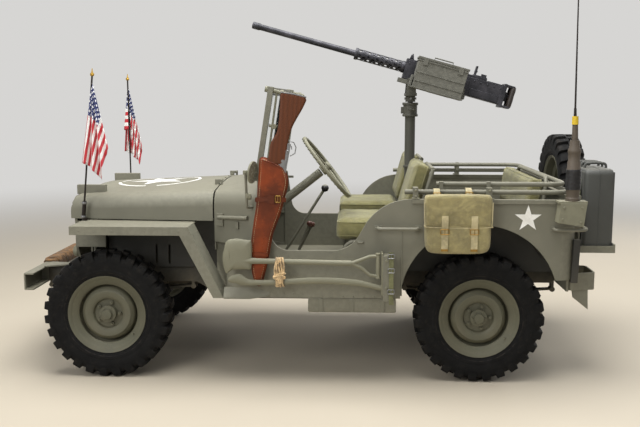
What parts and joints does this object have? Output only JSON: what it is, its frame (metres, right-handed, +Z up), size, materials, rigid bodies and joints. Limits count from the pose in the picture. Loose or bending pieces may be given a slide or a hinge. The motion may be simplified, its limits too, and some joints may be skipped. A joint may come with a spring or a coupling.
{
  "type": "army 4x4 car",
  "caption": "Open quarter-ton army 4x4 car with folding windscreen, slotted front panel, pedestal-mounted gun, spare wheel, fuel can and hand tools on its side.",
  "frame": {"origin": "on the ground, under the middle of the car's overall length and width", "axes": "-X towards the front of the car, -Y towards its left side, +Z up"},
  "size_m": [3.289, 1.6, 2.3501],
  "materials": {
    "olive_paint": "matt olive drab paint",
    "chassis_paint": "matt olive drab paint, shaded",
    "gun_metal": "matt blued steel",
    "tyre_rubber": "matt",
    "seat_canvas": "coarse canvas",
    "bag_canvas": "washed canvas",
    "rope": "hemp rope",
    "flag_cloth": "woven cloth",
    "tan_leather": "waxed",
    "stock_wood": "oiled",
    "tool_handles": "painted and worn",
    "window_glass": "clear",
    "lamp_glass": "fluted lens over a bright bowl",
    "staff_metal": "matt"
  },
  "bodies": {
    "chassis": {"chassis_frame": "chassis_paint", "front_bumper": "olive_paint", "rear_bumpers": "olive_paint", "bumper_rope": "rope", "leaf_springs": "chassis_paint", "axle_front": "chassis_paint", "axle_rear": "chassis_paint", "engine_block": "chassis_paint", "drivetrain": "chassis_paint", "exhaust": "chassis_paint", "side_left": "olive_paint", "side_right": "olive_paint", "wheel_wells": "olive_paint", "rear_panel": "olive_paint", "floor_pan": "olive_paint", "fuel_tank": "olive_paint", "cowl": "olive_paint", "grille": "olive_paint", "lamps": "lamp_glass", "fender_left": "olive_paint", "fender_right": "olive_paint", "mirror_left": "olive_paint", "seat_frames": "olive_paint", "seat_cushions": "seat_canvas", "driver_controls": "olive_paint", "top_bows": "olive_paint", "pedestal": "olive_paint", "jerrycan": "olive_paint", "spare_tyre": "tyre_rubber", "spare_rim": "olive_paint", "antenna": "olive_paint", "scabbard": "tan_leather", "rifle_stock": "stock_wood", "pioneer_tools": "tool_handles", "bag": "bag_canvas", "flag_staffs": "staff_metal", "flags": "flag_cloth"},
    "knuckle_left": {"knuckle_left": "chassis_paint"},
    "knuckle_right": {"knuckle_right": "chassis_paint"},
    "steering_wheel": {"steering_wheel": "olive_paint"},
    "tie_rod": {"tie_rod": "chassis_paint"},
    "hood": {"hood": "olive_paint"},
    "windscreen": {"windscreen_frame": "olive_paint", "windscreen_glass": "window_glass"},
    "gun_mount": {"gun_yoke": "olive_paint"},
    "gun": {"gun": "gun_metal", "gun_cradle": "olive_paint"},
    "wheel_front_left": {"tyre_front_left": "tyre_rubber", "rim_front_left": "olive_paint"},
    "wheel_front_right": {"tyre_front_right": "tyre_rubber", "rim_front_right": "olive_paint"},
    "wheel_rear_left": {"tyre_rear_left": "tyre_rubber", "rim_rear_left": "olive_paint"},
    "wheel_rear_right": {"tyre_rear_right": "tyre_rubber", "rim_rear_right": "olive_paint"}
  },
  "joints": [
    {"name": "steer_left", "type": "hinge", "parent": "chassis", "child": "knuckle_left", "pos_m": [-1.1375, -0.5, 0.352], "axis": [0, 0, 1], "range_deg": [-26, 26]},
    {"name": "steer_right", "type": "hinge", "parent": "chassis", "child": "knuckle_right", "pos_m": [-1.1375, 0.5, 0.352], "axis": [0, 0, 1], "range_deg": [-26, 26]},
    {"name": "steering_wheel_turn", "type": "hinge", "parent": "chassis", "child": "steering_wheel", "pos_m": [0.0615, -0.36, 1.143], "axis": [0.7859, 0, 0.6184], "range_deg": [-370, 370]},
    {"name": "tie_rod_slide", "type": "slide", "parent": "chassis", "child": "tie_rod", "axis": [0, 1, 0], "range_m": [-0.07, 0.07]},
    {"name": "hood_open", "type": "hinge", "parent": "chassis", "child": "hood", "pos_m": [-0.5555, 0, 1.056], "axis": [0, 1, 0], "range_deg": [0, 110]},
    {"name": "windscreen_fold", "type": "hinge", "parent": "chassis", "child": "windscreen", "pos_m": [-0.2995, 0, 1.094], "axis": [0, 1, 0], "range_deg": [-102, 0]},
    {"name": "gun_traverse", "type": "hinge", "parent": "chassis", "child": "gun_mount", "pos_m": [0.5525, 0, 1.48], "axis": [0, 0, 1], "continuous": true},
    {"name": "gun_elevation", "type": "hinge", "parent": "gun_mount", "child": "gun", "pos_m": [0.5525, 0, 1.625], "axis": [0, 1, 0], "range_deg": [-15.4, 25]},
    {"name": "wheel_spin_front_left", "type": "hinge", "parent": "knuckle_left", "child": "wheel_front_left", "pos_m": [-1.1375, -0.6225, 0.352], "axis": [0, 1, 0], "continuous": true},
    {"name": "wheel_spin_front_right", "type": "hinge", "parent": "knuckle_right", "child": "wheel_front_right", "pos_m": [-1.1375, 0.6225, 0.352], "axis": [0, 1, 0], "continuous": true},
    {"name": "wheel_spin_rear_left", "type": "hinge", "parent": "chassis", "child": "wheel_rear_left", "pos_m": [0.8945, -0.6225, 0.352], "axis": [0, 1, 0], "continuous": true},
    {"name": "wheel_spin_rear_right", "type": "hinge", "parent": "chassis", "child": "wheel_rear_right", "pos_m": [0.8945, 0.6225, 0.352], "axis": [0, 1, 0], "continuous": true}
  ],
  "couplings": [
    {"joint": "steer_right", "follows": "steer_left", "ratio": 1},
    {"joint": "steering_wheel_turn", "follows": "steer_left", "ratio": 14},
    {"joint": "tie_rod_slide", "follows": "steer_left", "m_per_rad": 0.145}
  ]
}
